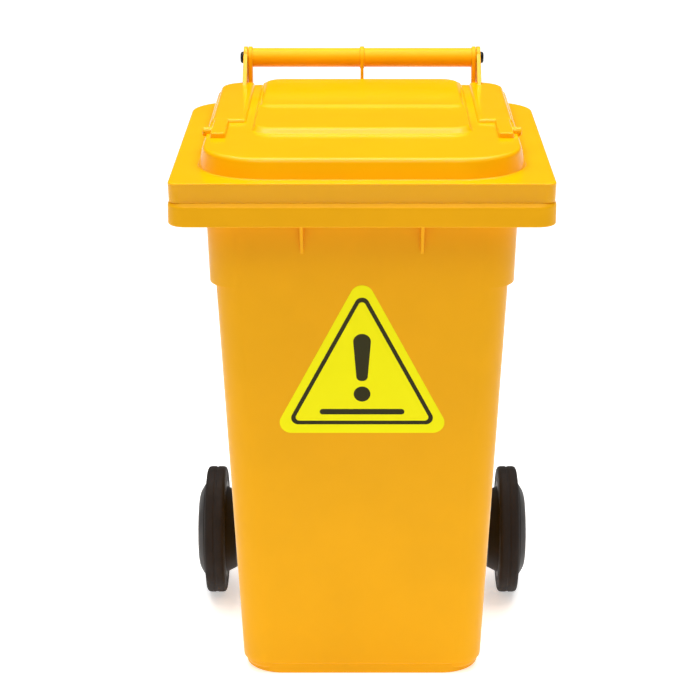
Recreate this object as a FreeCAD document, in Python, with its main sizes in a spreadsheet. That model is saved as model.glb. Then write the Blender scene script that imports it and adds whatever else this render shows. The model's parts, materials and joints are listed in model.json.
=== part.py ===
# Two-wheeled waste bin for biological waste, with a hinged lid. Millimetres, +X right, +Y back, +Z up.
# The origin is on the floor, under the middle of the bin's box.
import FreeCAD, Part
import math
import os
import Sketcher

doc = FreeCAD.newDocument("waste_bin")
dims = doc.addObject("Spreadsheet::Sheet", "Dims")
ORIGIN, START, END, CENTRE = -1, 1, 2, 3

# ---------------------------------------------------------------- driving dimensions
SIZES = {
    # tub: outer faces at floor level (toe) and at the underside of the rim (brow)
    "toe_half": 165.4, "brow_half": 194.4, "toe_front": 134, "brow_front": 220,
    "toe_back": 206, "brow_back": 222, "corner": 36, "wall": 4, "floor": 6,
    "base_height": 16, "base_inset": 2, "base_taper": 3, "base_corner": 44,
    # collar: the wider band under the rim
    "collar_foot": 583, "collar_foot_half": 198.5, "collar_brow_half": 201, "collar_setback": 7,
    # comb rim
    "rim_half": 243.5, "rim_front": 275, "rim_back": 234, "rim_bottom": 682, "rim_top": 712,
    "rim_corner": 24, "rim_edge": 2.5, "rim_back_corner": 64, "skirt_wall": 4, "rim_plate": 5, "rib": 4.5,
    "comb_pitch": 92, "brow_rib_x": 77, "brow_rib_foot": 632, "brow_rib_reach": 24,
    # recess for the axle at the bottom of the back
    "recess_front": 104, "recess_top": 140, "recess_corner": 16, "sump_corner": 10,
    "cheek_in": 150, "cheek_out": 158, "stay_x": 52,
    "lobe": 27, "boss_out": 180, "boss_radius": 19,
    # handle bar, its arms and the lid hinge
    "hinge_y": 259, "hinge_z": 797.8, "bar_radius": 13.7, "knuckle": 16, "arm_in": 159.5,
    "arm_out": 165.5, "arm_front": 243, "arm_foot": 560, "shelf_back": 262, "shelf_low": 699,
    "ring_half": 3.3, "web_half": 2.2,
    # lid
    "lid_half": 242.3, "lid_front": 273.8, "lid_back": 233, "lid_corner": 15, "lid_back_corner": 64,
    "lid_low": 712.4, "flange_top": 738, "lid_wall": 3.6, "lid_edge": 2.5,
    "dome_half": 210, "dome_front": 254, "dome_back": 229, "dome_corner": 88, "dome_back_corner": 62,
    "plateau_half": 204, "plateau_front": 246, "plateau_back": 226, "plateau_corner": 80,
    "plateau_back_corner": 58, "plateau_top": 764,
    "deck_foot_half": 145, "deck_half": 142, "deck_foot_front": 105, "deck_front": 100,
    "deck_back": 224, "deck_corner": 26, "deck_back_corner": 26, "deck_top": 771,
    "panel_foot_half": 139, "panel_half": 136.5, "panel_foot_front": -32, "panel_front": -35,
    "panel_back": 221, "panel_corner": 16, "panel_back_corner": 22, "panel_top": 774,
    "shoulder_in": 154, "shoulder_out": 202, "shoulder_front": 38, "shoulder_back": 224,
    "shoulder_top": 769, "shoulder_corner": 5, "shoulder_draft": 2.5, "shoulder_back_corner": 34,
    "catch_in": 177.5, "catch_out": 197, "catch_front": 130, "catch_back": 40, "catch_top": 771,
    "catch_corner": 4, "stud_out": 209, "stud_y": 97, "stud_z": 765.5, "stud_radius": 6,
    "lattice_x": 70, "lattice_y": 70, "lattice_half": 1.3, "lattice_low": 742,
    "lug_in": 166, "lug_out": 172, "lug_foot_front": 196, "lug_foot_back": 231,
    # hinge pins
    "pin_radius": 5, "pin_reach": 136, "pin_head": 8.5, "pin_head_out": 177, "running": 0.05,
    # rubber buffers under the lid
    "buffer_x": 214, "buffer_y": 246, "buffer_radius": 8, "socket_wall": 2.5, "socket_low": 722,
    "buffer_gap": 0.3,
    # axle, wheels and their snap locks
    "axle_y": 166, "axle_z": 95, "axle_radius": 10, "axle_end": 233, "groove_x": 226,
    "groove_half": 4.3, "groove_radius": 7.6, "washer_radius": 17, "washer_in": 180.1,
    "washer_out": 183.1, "tyre_radius": 95, "tyre_in": 204, "tyre_out": 233, "tyre_shoulder": 9,
    "tyre_bore": 72, "bead_half": 5, "bead_depth": 3, "rim_inner": 63.6, "dish_in": 188,
    "dish_radius": 65, "dish_end": 57, "dish_wall": 4, "barrel_radius": 20,
    "barrel_in": 183.2, "barrel_out": 235, "disc_in": 213, "disc_out": 218, "spoke_half": 2.5,
    "spoke_in": 206, "spoke_out": 226, "cap_radius": 70, "cap_seat": 233.05, "cap_edge": 235.5,
    "cap_top": 245, "cap_face": 55, "cap_clip": 63.5, "cap_clip_in": 227.5, "cap_wall": 2.4,
    "latch_bore": 4.1, "latch_radius": 4, "latch_nose": 8.2, "latch_top": 21, "latch_neck": 4,
    "tower_radius": 7.5, "tower_top": 44,
    "spring_top": 39.5, "spring_mean": 3, "spring_wire": 0.4, "spring_pitch": 3,
    # label on the front wall
    "label_half": 119.5, "label_low": 379.5, "label_high": 612.6, "label_corner": 15.5, "label_thick": 0.5,
}
for row, (alias, value) in enumerate(SIZES.items(), 1):
    dims.set(f"A{row}", alias)
    dims.set(f"B{row}", str(value))
    dims.setAlias(f"B{row}", alias)
doc.recompute()


def size(name):
    """The expression that reads one driving dimension."""
    return f"Dims.{name}"


def value(expression):
    """The number that an expression gives now."""
    return float(dims.evalExpression(str(expression)))


# ---------------------------------------------------------------- sketches
def new_body(name):
    body = doc.addObject("PartDesign::Body", name)
    body.Label = name
    return body


def new_sketch(body, name, role, shift="0"):
    """A sketch on one of the body's own origin planes, moved along that plane's normal."""
    sketch = body.newObject("Sketcher::SketchObject", name)
    sketch.AttachmentSupport = [(next(f for f in body.Origin.OriginFeatures if f.Role == role), "")]
    sketch.MapMode = "FlatFace"
    sketch.setExpression("AttachmentOffset.Base.z", f"({shift}) * 1 mm")
    return sketch


def hold(sketch, kind, *where, to=None):
    """Adds a constraint, driven by an expression where one is given."""
    if to is None:
        return sketch.addConstraint(Sketcher.Constraint(kind, *where))
    index = sketch.addConstraint(Sketcher.Constraint(kind, *where, value(to)))
    sketch.setExpression(f"Constraints[{index}]", str(to))
    return index


def place(sketch, geometry, point, across, up):
    hold(sketch, "DistanceX", ORIGIN, START, geometry, point, to=across)
    hold(sketch, "DistanceY", ORIGIN, START, geometry, point, to=up)


def circle(sketch, across, up, radius):
    middle = FreeCAD.Vector(value(across), value(up), 0)
    ring = sketch.addGeometry(Part.Circle(middle, FreeCAD.Vector(0, 0, 1), value(radius)))
    place(sketch, ring, CENTRE, across, up)
    hold(sketch, "Radius", ring, to=radius)


def round_corner(sketch, into, out, spot, before, after, corner):
    """The arc that joins two lines of an outline, with their meeting point kept as the dimensioned one."""
    across, up, radius = corner
    size_now = value(radius)
    half = before.getAngle(after) / 2
    centre = spot + (before + after).normalize() * (size_now / math.sin(half))
    first = spot + before * (size_now / math.tan(half))
    last = spot + after * (size_now / math.tan(half))
    left_turn = before.cross(after).z < 0
    start, end = (first, last) if left_turn else (last, first)
    angles = [math.atan2(p.y - centre.y, p.x - centre.x) for p in (start, end)]
    if angles[1] < angles[0]:
        angles[1] += math.tau
    ring = Part.Circle(centre, FreeCAD.Vector(0, 0, 1), size_now)
    arc = sketch.addGeometry(Part.ArcOfCircle(ring, *angles))
    near, far = (START, END) if left_turn else (END, START)
    hold(sketch, "Tangent", into, END, arc, near)
    hold(sketch, "Tangent", arc, far, out, START)
    hold(sketch, "Radius", arc, to=radius)
    point = sketch.addGeometry(Part.Point(spot), True)
    hold(sketch, "PointOnObject", point, START, into)
    hold(sketch, "PointOnObject", point, START, out)
    place(sketch, point, START, across, up)


def outline(sketch, corners):
    """A closed outline through corners (across, up, radius): a radius of 0 is a sharp corner."""
    spots = [FreeCAD.Vector(value(across), value(up), 0) for across, up, _ in corners]
    before = [(spots[i - 1] - spot).normalize() for i, spot in enumerate(spots)]
    after = [-before[(i + 1) % len(spots)] for i in range(len(spots))]
    trims = [
        value(corner[2]) / math.tan(before[i].getAngle(after[i]) / 2) if value(corner[2]) else 0
        for i, corner in enumerate(corners)
    ]
    lines = []
    for i, spot in enumerate(spots):
        j = (i + 1) % len(spots)
        ends = (spot + after[i] * trims[i], spots[j] + before[j] * trims[j])
        lines.append(sketch.addGeometry(Part.LineSegment(*ends)))
    for i, corner in enumerate(corners):
        if trims[i]:
            round_corner(sketch, lines[i - 1], lines[i], spots[i], before[i], after[i], corner)
        else:
            hold(sketch, "Coincident", lines[i - 1], END, lines[i], START)
            place(sketch, lines[i], START, corner[0], corner[1])


def plan(half, front, back, front_corner, back_corner):
    """A rounded rectangle seen from above, symmetric about X = 0, whose front lies at -front."""
    return [
        (f"-({half})", f"-({front})", front_corner),
        (half, f"-({front})", front_corner),
        (half, back, back_corner),
        (f"-({half})", back, back_corner),
    ]


def box_plan(left, right, front, back, corner="0"):
    return [(left, front, corner), (right, front, corner), (right, back, corner), (left, back, corner)]


# ---------------------------------------------------------------- features
def extrude(kind, body, sketch, length, up=True):
    feature = body.newObject(f"PartDesign::{kind}", f"{sketch.Name}_{kind.lower()}")
    feature.Profile = sketch
    feature.Reversed = up == (kind == "Pocket")
    feature.Refine = False
    feature.setExpression("Length", length)
    sketch.Visibility = False
    doc.recompute()
    return feature


def pad(body, sketch, length, up=True):
    """Material from the sketch's plane along its normal, or the other way."""
    return extrude("Pad", body, sketch, length, up)


def pocket(body, sketch, length, up=True):
    """A cut from the sketch's plane along its normal, or the other way; it must remove something."""
    before = body.Shape.Volume
    feature = extrude("Pocket", body, sketch, length, up)
    if not body.Shape.Volume < before - 1:
        raise RuntimeError(f"{feature.Name} cuts nothing")
    return feature


def tier(body, name, low, low_plan, high, high_plan, cut=False):
    """A drafted block between two outlines at the heights low and high, added or cut."""
    sketches = []
    for part, height, corners in (("low", low, low_plan), ("high", high, high_plan)):
        sketch = new_sketch(body, f"{name}_{part}", "XY_Plane", height)
        outline(sketch, corners)
        sketches.append(sketch)
    doc.recompute()
    kind = "SubtractiveLoft" if cut else "AdditiveLoft"
    feature = body.newObject(f"PartDesign::{kind}", name)
    feature.Profile = sketches[0]
    feature.Sections = [sketches[1]]
    feature.Ruled = True
    doc.recompute()
    return feature


def plate(body, name, start, end, corners, cut=False):
    """A profile in the YZ plane, from X = start to X = end, added or cut."""
    sketch = new_sketch(body, name, "YZ_Plane", start)
    outline(sketch, corners)
    return (pocket if cut else pad)(body, sketch, f"({end}) - ({start})")


def disc(body, name, start, end, across, up, radius, cut=False):
    """A cylinder along X, added or cut."""
    sketch = new_sketch(body, name, "YZ_Plane", start)
    circle(sketch, across, up, radius)
    return (pocket if cut else pad)(body, sketch, f"({end}) - ({start})")


def turned(body, name, corners):
    """A solid turned about the X axis from a half profile of (along X, radius, corner radius)."""
    sketch = new_sketch(body, name, "XY_Plane")
    outline(sketch, corners)
    feature = body.newObject("PartDesign::Revolution", f"{name}_turned")
    feature.Profile = sketch
    feature.ReferenceAxis = (sketch, ["H_Axis"])
    feature.Angle = 360
    doc.recompute()
    return feature


def soften(body, radius, wanted):
    """Rounds the edges of the body for which wanted(edge) holds."""
    base = body.Tip
    names = [f"Edge{i}" for i, edge in enumerate(base.Shape.Edges, 1) if wanted(edge)]
    fillet = body.newObject("PartDesign::Fillet", f"{base.Name}_round")
    fillet.Base = (base, names)
    fillet.setExpression("Radius", radius)
    doc.recompute()
    return fillet


def at_height(expression):
    """Picks the edges that lie at one height."""
    level = value(expression)
    return lambda edge: max(abs(edge.BoundBox.ZMin - level), abs(edge.BoundBox.ZMax - level)) < 1e-3


# ---------------------------------------------------------------- tub
def slope(name, height):
    """A tub size between its value at the floor and at the underside of the rim."""
    toe, brow = size(f"toe_{name}"), size(f"brow_{name}")
    return f"({toe} + ({brow} - {toe}) * ({height}) / Dims.rim_bottom)"


def shell_plan(height, inset="0", corner="Dims.corner"):
    reach = [f"{slope(name, height)} - ({inset})" for name in ("half", "front", "back")]
    return plan(*reach, f"{corner} - ({inset})", f"{corner} - ({inset})")


def collar_plan(half, height, inset="0"):
    corner = f"Dims.corner - ({inset})"
    front, back = (f"{slope(n, height)} - Dims.collar_setback - ({inset})" for n in ("front", "back"))
    return plan(f"{half} - ({inset})", front, back, corner, corner)


def rim_plan(inset):
    corners = [f"Dims.{n} - ({inset})" for n in ("rim_corner", "rim_back_corner")]
    return plan(*[f"Dims.{n} - ({inset})" for n in ("rim_half", "rim_front", "rim_back")], *corners)


def tub_outside(tub):
    base = "Dims.base_height"
    foot = [f"{slope(n, '0')} - Dims.base_taper" for n in ("half", "front", "back")]
    corner = "Dims.base_corner"
    tier(tub, "base", "0", plan(*foot, corner, corner), base, shell_plan(base, "Dims.base_inset", corner))
    tier(tub, "walls", base, shell_plan(base), "Dims.rim_bottom", shell_plan("Dims.rim_bottom"))
    low, high = "Dims.collar_foot", "Dims.rim_bottom"
    low_plan = collar_plan("Dims.collar_foot_half", low)
    tier(tub, "collar", low, low_plan, high, collar_plan("Dims.collar_brow_half", high))
    rim = new_sketch(tub, "rim", "XY_Plane", "Dims.rim_bottom")
    outline(rim, rim_plan("0"))
    pad(tub, rim, "Dims.rim_top - Dims.rim_bottom")


def tub_hollows(tub):
    """The recess for the axle, the space for the waste and the channel under the rim."""
    top = "Dims.recess_top"
    back = "Dims.brow_back + 40"
    corners = box_plan("Dims.recess_front", back, "-5", top)
    corners[3] = (*corners[3][:2], "Dims.recess_corner")
    plate(tub, "recess", "-Dims.rim_half", "Dims.rim_half", corners, cut=True)
    low, high = "Dims.recess_top + Dims.wall", "Dims.rim_top + 1"
    tier(tub, "chamber", low, shell_plan(low, "Dims.wall"), high, shell_plan(high, "Dims.wall"), cut=True)
    halves = [f"Dims.{n}" for n in ("collar_foot_half", "collar_brow_half")]
    foot = "Dims.collar_foot + Dims.wall"
    plans = [collar_plan(half, at, "Dims.wall") for half, at in zip(halves, (foot, high))]
    tier(tub, "collar_chamber", foot, plans[0], high, plans[1], cut=True)
    inset, corner = "Dims.wall", "Dims.corner - Dims.wall"
    plans = []
    for height in ("Dims.floor", f"{low} + 1"):
        reach = [f"{slope(name, height)} - {inset}" for name in ("half", "front")]
        plans.append(plan(*reach, f"Dims.recess_front - {inset}", corner, "Dims.sump_corner"))
    tier(tub, "sump", "Dims.floor", plans[0], f"{low} + 1", plans[1], cut=True)
    channel = new_sketch(tub, "channel", "XY_Plane", "Dims.rim_bottom")
    outline(channel, rim_plan("Dims.skirt_wall"))
    brow = "Dims.rim_bottom"
    inner = [slope("front", brow), slope("back", brow), "Dims.corner", "Dims.corner"]
    outline(channel, plan("Dims.collar_brow_half", *inner))
    pocket(tub, channel, "Dims.rim_top - Dims.rim_plate - Dims.rim_bottom")


def tub_ribs(tub):
    """The comb under the rim and the two gussets below it on the front wall."""
    comb = new_sketch(tub, "comb", "XY_Plane", "Dims.rim_bottom + 3")
    half = "Dims.rib / 2"
    for step in (-1.5, -0.5, 0.5, 1.5):
        middle = f"Dims.comb_pitch * ({step})"
        ends = ("-(Dims.rim_front - 3)", "-(Dims.brow_front - 1)")
        outline(comb, box_plan(f"{middle} - {half}", f"{middle} + {half}", *ends))
    for side in ("", "-"):
        for step in (-1.4, -0.4, 0.6, 1.6):
            middle = f"Dims.comb_pitch * ({step})"
            ends = sorted((f"{side}(Dims.collar_brow_half - 1)", f"{side}(Dims.rim_half - 3)"), key=value)
            outline(comb, box_plan(*ends, f"{middle} - {half}", f"{middle} + {half}"))
    pad(tub, comb, "Dims.rim_top - Dims.rim_plate - Dims.rim_bottom - 2")
    brow, foot = "Dims.rim_bottom + 4", "Dims.brow_rib_foot"
    wall = [f"-({slope('front', height)} - 1)" for height in (brow, foot)]
    corners = [
        (wall[0], brow, "0"), (f"{wall[0]} - Dims.brow_rib_reach", brow, "0"),
        (f"{wall[1]} - 1.6", foot, "0"), (wall[1], foot, "0"),
    ]
    for side in ("", "-"):
        middle = f"{side}Dims.brow_rib_x"
        name = "gusset_left" if side else "gusset_right"
        plate(tub, name, f"{middle} - {half}", f"{middle} + {half}", corners)


def axle_mounts(tub):
    """Hanging plates that carry the axle, with a boss outside each outer plate."""
    lobe, y, z = "Dims.lobe", "Dims.axle_y", "Dims.axle_z"
    top, round_end = "Dims.recess_top + 2", "Dims.lobe - 0.5"
    corners = [
        (f"{y} - {lobe}", top, "0"), (f"{y} - {lobe}", f"{z} - {lobe}", round_end),
        (f"{y} + {lobe}", f"{z} - {lobe}", round_end), (f"{y} + {lobe}", top, "0"),
    ]
    width = "(Dims.cheek_out - Dims.cheek_in)"
    starts = ["-Dims.cheek_out", "-Dims.stay_x", f"Dims.stay_x - {width}", "Dims.cheek_in"]
    for i, start in enumerate(starts):
        plate(tub, f"hanger_{i}", start, f"{start} + {width}", corners)
    disc(tub, "boss_right", "Dims.cheek_out - 1", "Dims.boss_out", y, z, "Dims.boss_radius")
    disc(tub, "boss_left", "-Dims.boss_out", "-Dims.cheek_out + 1", y, z, "Dims.boss_radius")
    bore = "Dims.axle_radius + Dims.running"
    disc(tub, "axle_bore", "-Dims.rim_half", "Dims.rim_half", y, z, bore, cut=True)


def handle(tub):
    """The bar with its two arms, its middle web and ring, and the bores for the hinge pins."""
    y, z = "Dims.hinge_y", "Dims.hinge_z"
    shelf = box_plan("Dims.rim_back - 3", "Dims.shelf_back - 2", "Dims.shelf_low", "Dims.rim_top - 1")
    plate(tub, "shelf", "-Dims.arm_in - 1", "Dims.arm_in + 1", shelf)
    disc(tub, "bar", "-Dims.arm_in - 1", "Dims.arm_in + 1", y, z, "Dims.bar_radius")
    knuckle = "Dims.knuckle"
    wall_top, wall_foot = (f"{slope('back', at)} - 1" for at in ("Dims.rim_bottom", "Dims.arm_foot"))
    arm = [
        (f"{y} - {knuckle}", z, "0"), ("Dims.arm_front", "Dims.rim_top + 4", "0"),
        ("Dims.rim_back - 3", "Dims.rim_top - 1", "0"), (wall_top, "Dims.rim_bottom", "0"),
        (wall_foot, "Dims.arm_foot", "0"), (f"{wall_foot} + 3", "Dims.arm_foot", "0"),
        ("Dims.shelf_back", "Dims.shelf_low", "30"), (f"{y} + {knuckle}", z, "0"),
    ]
    for name, start, end in (
        ("arm_left", "-Dims.arm_out", "-Dims.arm_in"), ("arm_right", "Dims.arm_in", "Dims.arm_out"),
        ("middle", "-Dims.web_half", "Dims.web_half"),
    ):
        plate(tub, name, start, end, arm)
    for name, start, end in (
        ("ring_left", "-Dims.arm_out", "-Dims.arm_in"), ("ring_right", "Dims.arm_in", "Dims.arm_out"),
        ("ring_middle", "-Dims.ring_half", "Dims.ring_half"),
    ):
        disc(tub, name, start, end, y, z, knuckle)
    bore = "Dims.pin_radius + Dims.running"
    disc(tub, "pin_bore_right", "Dims.pin_reach", "Dims.arm_out + 1", y, z, bore, cut=True)
    disc(tub, "pin_bore_left", "-Dims.arm_out - 1", "-Dims.pin_reach", y, z, bore, cut=True)


def rim_edge(edge):
    """Picks the outer edges of the rim's top and bottom."""
    near_rim = edge.BoundBox.XMax > value("Dims.rim_half") - 100
    return at_height("Dims.rim_top")(edge) or (at_height("Dims.rim_bottom")(edge) and near_rim)


def make_tub():
    tub = new_body("tub")
    tub_outside(tub)
    soften(tub, "Dims.rim_edge", rim_edge)
    tub_hollows(tub)
    tub_ribs(tub)
    axle_mounts(tub)
    handle(tub)
    return tub


# ---------------------------------------------------------------- lid
def lid_tier(lid, name, low, low_inset, high, high_inset, corners, cut):
    """A step of the lid; corners names the sizes of its foot and of its top, each inset by its own wall."""
    plans = []
    for names, inset in zip(corners, (low_inset, high_inset)):
        plans.append(plan(*[f"Dims.{n} - ({inset})" for n in names]))
    tier(lid, name, low, plans[0], high, plans[1], cut)


def shoulder_plan(side, draft, inset):
    """A raised shoulder beside the deck: side is "" on the right and "-" on the left."""
    near = f"{side}(Dims.shoulder_in + {draft} + {inset})"
    far = f"{side}(Dims.shoulder_out - {draft} - {inset})"
    front, back = f"-Dims.shoulder_front + {draft} + {inset}", f"Dims.shoulder_back - {draft} - {inset}"
    corner, outer = (f"Dims.shoulder_{name} - {inset}" for name in ("corner", "back_corner"))
    corners = [(near, front, corner), (far, front, corner), (far, back, outer), (near, back, corner)]
    return corners[::-1] if side else corners


def lid_steps(lid, inset, cut):
    """The dome, the deck and its back panel, and the two shoulders: solid steps, or the hollows inside."""
    drop = f"({inset})"
    flange, plateau = f"Dims.flange_top - {drop}", f"Dims.plateau_top - {drop}"
    kind = "hollow" if cut else "solid"
    dome = ["dome_half", "dome_front", "dome_back", "dome_corner", "dome_back_corner"]
    top = ["plateau_half", "plateau_front", "plateau_back", "plateau_corner", "plateau_back_corner"]
    lid_tier(lid, f"dome_{kind}", flange, inset, plateau, inset, (dome, top), cut)
    foot = ["deck_foot_half", "deck_foot_front", "deck_back", "deck_corner", "deck_back_corner"]
    deck = ["deck_half", "deck_front", "deck_back", "deck_corner", "deck_back_corner"]
    deck_top = f"Dims.deck_top - {drop}"
    lid_tier(lid, f"deck_{kind}", plateau, inset, deck_top, inset, (foot, deck), cut)
    outer = ["panel_back", "panel_corner", "panel_back_corner"]
    panels = [[f"panel_{at}half", f"panel_{at}front", *outer] for at in ("foot_", "")]
    lid_tier(lid, f"panel_{kind}", deck_top, inset, f"Dims.panel_top - {drop}", inset, panels, cut)
    for name, side in (("right", ""), ("left", "-")):
        plans = [shoulder_plan(side, draft, inset) for draft in ("0", "Dims.shoulder_draft")]
        tier(lid, f"shoulder_{name}_{kind}", plateau, plans[0], f"Dims.shoulder_top - {drop}", plans[1], cut)


def lid_lugs(lid):
    """The two hinge lugs: a ring round each hinge pin, on an arm from the back of the shoulder."""
    y, z = "Dims.hinge_y", "Dims.hinge_z"
    arm = [
        ("Dims.lug_foot_front", "Dims.shoulder_top - 4", "0"),
        ("Dims.lug_foot_back", "Dims.flange_top - 2", "0"),
        (f"{y} + 10", f"{z} - 12.2", "0"), (f"{y} - 10", f"{z} + 12.2", "0"),
    ]
    for name, start, end in (
        ("left", "-Dims.lug_out", "-Dims.lug_in"), ("right", "Dims.lug_in", "Dims.lug_out"),
    ):
        plate(lid, f"lug_arm_{name}", start, end, arm)
        disc(lid, f"lug_ring_{name}", start, end, y, z, "Dims.knuckle")
    bore = "Dims.pin_radius + Dims.running"
    disc(lid, "lug_bores", "-Dims.rim_half", "Dims.rim_half", y, z, bore, cut=True)


def lid_underside(lid):
    """Stiffening lattice inside the dome and the sockets of the rubber buffers."""
    lattice = new_sketch(lid, "lattice", "XY_Plane", "Dims.lattice_low")
    spine = new_sketch(lid, "spine", "XY_Plane", "Dims.lattice_low")
    half, reach = "Dims.lattice_half", "(Dims.plateau_half - 2)"
    for step in (-2, -1, 0, 1, 2):
        middle = f"Dims.lattice_y * ({step})"
        outline(lattice, box_plan(f"-{reach}", reach, f"{middle} - {half}", f"{middle} + {half}"))
    ends = ("-(Dims.plateau_front - 2)", "Dims.plateau_back - 2")
    for middle in ("-Dims.lattice_x", "Dims.lattice_x"):
        outline(spine, box_plan(f"{middle} - {half}", f"{middle} + {half}", *ends))
    for ribs in (lattice, spine):
        pad(lid, ribs, "Dims.plateau_top - Dims.lid_wall + 1 - Dims.lattice_low")
    high = new_sketch(lid, "high_spine", "XY_Plane", "Dims.lattice_low + 10")
    ends = ("-(Dims.deck_front - 2)", "Dims.deck_back - 2")
    for middle in ("-Dims.lattice_x", "Dims.lattice_x"):
        outline(high, box_plan(f"{middle} - {half}", f"{middle} + {half}", *ends))
    pad(lid, high, "Dims.deck_top - Dims.lid_wall + 1 - Dims.lattice_low - 10")
    sockets = new_sketch(lid, "sockets", "XY_Plane", "Dims.socket_low")
    for side in ("-", ""):
        spot = (f"{side}Dims.buffer_x", "-Dims.buffer_y")
        circle(sockets, *spot, "Dims.buffer_radius + Dims.running")
        circle(sockets, *spot, "Dims.buffer_radius + Dims.socket_wall")
    pad(lid, sockets, "Dims.flange_top - 1 - Dims.socket_low")


def make_lid():
    lid = new_body("lid")
    corners = ("Dims.lid_corner", "Dims.lid_back_corner")
    flange = new_sketch(lid, "flange", "XY_Plane", "Dims.lid_low")
    outline(flange, plan("Dims.lid_half", "Dims.lid_front", "Dims.lid_back", *corners))
    pad(lid, flange, "Dims.flange_top - Dims.lid_low")
    soften(lid, "Dims.lid_edge", at_height("Dims.flange_top"))
    lid_steps(lid, "0", cut=False)
    for name, side in (("right", ""), ("left", "-")):
        ends = sorted((f"{side}Dims.catch_in", f"{side}Dims.catch_out"), key=value)
        catch = new_sketch(lid, f"catch_{name}", "XY_Plane", "Dims.plateau_top - 1")
        outline(catch, box_plan(*ends, "-Dims.catch_front", "-Dims.catch_back", "Dims.catch_corner"))
        pad(lid, catch, "Dims.catch_top - Dims.plateau_top + 1")
        ends = sorted((f"{side}(Dims.catch_out - 1)", f"{side}Dims.stud_out"), key=value)
        disc(lid, f"stud_{name}", *ends, "-Dims.stud_y", "Dims.stud_z", "Dims.stud_radius")
    inside = new_sketch(lid, "inside", "XY_Plane", "Dims.lid_low")
    wall = "Dims.lid_wall"
    names = ("lid_half", "lid_front", "lid_back", "lid_corner", "lid_back_corner")
    reach = [f"Dims.{n} - {wall}" for n in names]
    outline(inside, plan(*reach))
    pocket(lid, inside, f"Dims.flange_top - {wall} - Dims.lid_low")
    lid_steps(lid, wall, cut=True)
    lid_lugs(lid)
    lid_underside(lid)
    return lid


# ---------------------------------------------------------------- turned pieces and small parts
def set_down(body, side, y, z):
    """Places a piece drawn round the X axis, outwards to the right, on the right or the left of the bin."""
    turn = FreeCAD.Rotation(FreeCAD.Vector(0, 0, 1), 0 if side == "right" else 180)
    body.Placement = FreeCAD.Placement(FreeCAD.Vector(), turn)
    body.setExpression("Placement.Base.y", y)
    body.setExpression("Placement.Base.z", z)
    return body


def tube(name, start, end, inner, outer):
    body = new_body(name)
    turned(body, f"{name}_profile", box_plan(start, end, inner, outer))
    return body


def make_hinge_pin(side):
    pin = new_body(f"hinge_pin_{side}")
    shank, head = "Dims.pin_radius", "Dims.pin_head"
    tip, seat, out = "Dims.pin_reach + 0.5", "Dims.lug_out + Dims.running", "Dims.pin_head_out"
    turned(pin, f"pin_{side}", [
        (tip, "0", "0"), (out, "0", "0"), (out, head, "3.5"), (seat, head, "0"),
        (seat, shank, "0"), (f"{tip} + 2", shank, "0"), (tip, f"{shank} - 1.5", "0"),
    ])
    return set_down(pin, side, "Dims.hinge_y", "Dims.hinge_z")


def make_axle():
    axle = new_body("axle")
    end, bar = "Dims.axle_end", "Dims.axle_radius"
    groove, deep = ("(Dims.groove_x {} Dims.groove_half)".format(s) for s in "-+"), "Dims.groove_radius"
    near, far = groove
    corners = [(f"-{end}", "0", "0"), (end, "0", "0"), (end, f"{bar} - 1.5", "0"), (f"{end} - 1.5", bar, "0")]
    corners += [(far, bar, "0"), (far, deep, "0"), (near, deep, "0"), (near, bar, "0")]
    corners += [(f"-{near}", bar, "0"), (f"-{near}", deep, "0")]
    corners += [(f"-{far}", deep, "0"), (f"-{far}", bar, "0")]
    corners += [(f"-({end} - 1.5)", bar, "0"), (f"-{end}", f"{bar} - 1.5", "0")]
    turned(axle, "axle_profile", corners)
    return set_down(axle, "right", "Dims.axle_y", "Dims.axle_z")


def make_tyre(side):
    tyre = new_body(f"tyre_{side}")
    bore, tread, shoulder = "Dims.tyre_bore", "Dims.tyre_radius", "Dims.tyre_shoulder"
    near, far = "Dims.tyre_in", "Dims.tyre_out"
    middle = f"(({near} + {far}) / 2)"
    start, end, deep = f"{middle} - Dims.bead_half", f"{middle} + Dims.bead_half", f"{bore} - Dims.bead_depth"
    bead = [(start, bore, "0"), (start, deep, "1"), (end, deep, "1"), (end, bore, "0")]
    turned(tyre, f"tyre_{side}_profile", [
        (near, bore, "0"), *bead, (far, bore, "0"), (far, tread, shoulder), (near, tread, shoulder),
    ])
    return set_down(tyre, side, "Dims.axle_y", "Dims.axle_z")


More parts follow.
